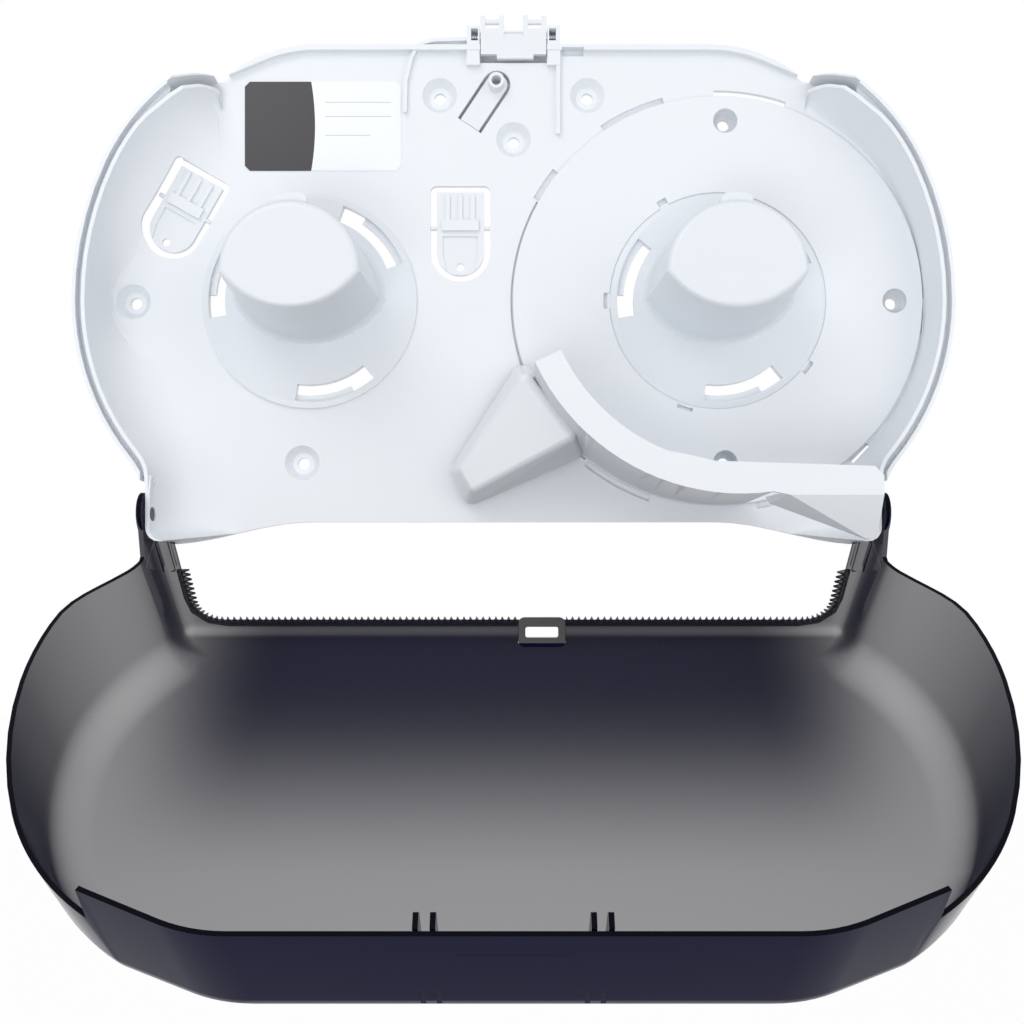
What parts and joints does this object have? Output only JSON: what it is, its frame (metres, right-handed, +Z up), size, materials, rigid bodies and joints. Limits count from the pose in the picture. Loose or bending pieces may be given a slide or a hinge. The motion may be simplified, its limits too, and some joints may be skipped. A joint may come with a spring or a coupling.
{
  "type": "toilet roll dispenser",
  "caption": "Wall-hung jumbo toilet roll dispenser with its smoke-grey cover hinged open, showing roll posts, brake flaps and a swinging roll guard.",
  "frame": {"origin": "midway between the two outer screw holes, in the wall plane", "axes": "+X runs right as seen from the front, +Y into the wall, +Z up; the cover is stored hinged open"},
  "size_m": [0.508, 0.2874, 0.5357],
  "materials": {
    "shell": "satin moulded, pale cool grey",
    "roll_post": "smooth moulded, near white",
    "smoke": "translucent smoke grey, polished",
    "black": "moulded black",
    "steel": "bright wire",
    "label": "pale film with a dark field, bare of words"
  },
  "bodies": {
    "housing": {"rear_housing": "shell", "left_spindle": "roll_post", "right_spindle": "roll_post", "latch_pivot_pin": "steel", "left_latch_spring": "steel", "right_latch_spring": "steel", "label_plate": "label"},
    "cover": {"front_cover": "smoke", "tear_edge": "black", "eyelet_frame": "black", "left_hinge_pin": "black", "right_hinge_pin": "black"},
    "ring": {"reserve_ring": "shell", "roll_guard": "roll_post"},
    "left_flap": {"left_brake_flap": "shell"},
    "centre_flap": {"centre_brake_flap": "shell"},
    "finger": {"spring_finger": "shell"},
    "latch": {"latch_rocker": "shell"}
  },
  "joints": [
    {"name": "cover_hinge", "type": "hinge", "parent": "housing", "child": "cover", "pos_m": [0, -0.039, -0.13], "axis": [1, 0, 0], "range_deg": [-137.4, 0]},
    {"name": "guard_swing", "type": "hinge", "parent": "housing", "child": "ring", "pos_m": [0.1225, -0.01, 0], "axis": [0, 1, 0], "range_deg": [0, 60]},
    {"name": "left_flap_rock", "type": "hinge", "parent": "housing", "child": "left_flap", "pos_m": [-0.1976, -0.007, 0.0563], "axis": [0.8704, 0, -0.4924], "range_deg": [0, 6], "stiffness_Nm_per_rad": 0.3},
    {"name": "centre_flap_rock", "type": "hinge", "parent": "housing", "child": "centre_flap", "pos_m": [-0.0319, -0.007, 0.0443], "axis": [1, 0, 0], "range_deg": [0, 6], "stiffness_Nm_per_rad": 0.3},
    {"name": "finger_flex", "type": "hinge", "parent": "housing", "child": "finger", "pos_m": [-0.02645, -0.00725, 0.1062], "axis": [0.832, 0, -0.5548], "range_deg": [-4, 0], "stiffness_Nm_per_rad": 0.5},
    {"name": "latch_rock", "type": "hinge", "parent": "housing", "child": "latch", "pos_m": [0, -0.0075, 0.1592], "axis": [1, 0, 0], "range_deg": [0, 8], "stiffness_Nm_per_rad": 0.05}
  ]
}
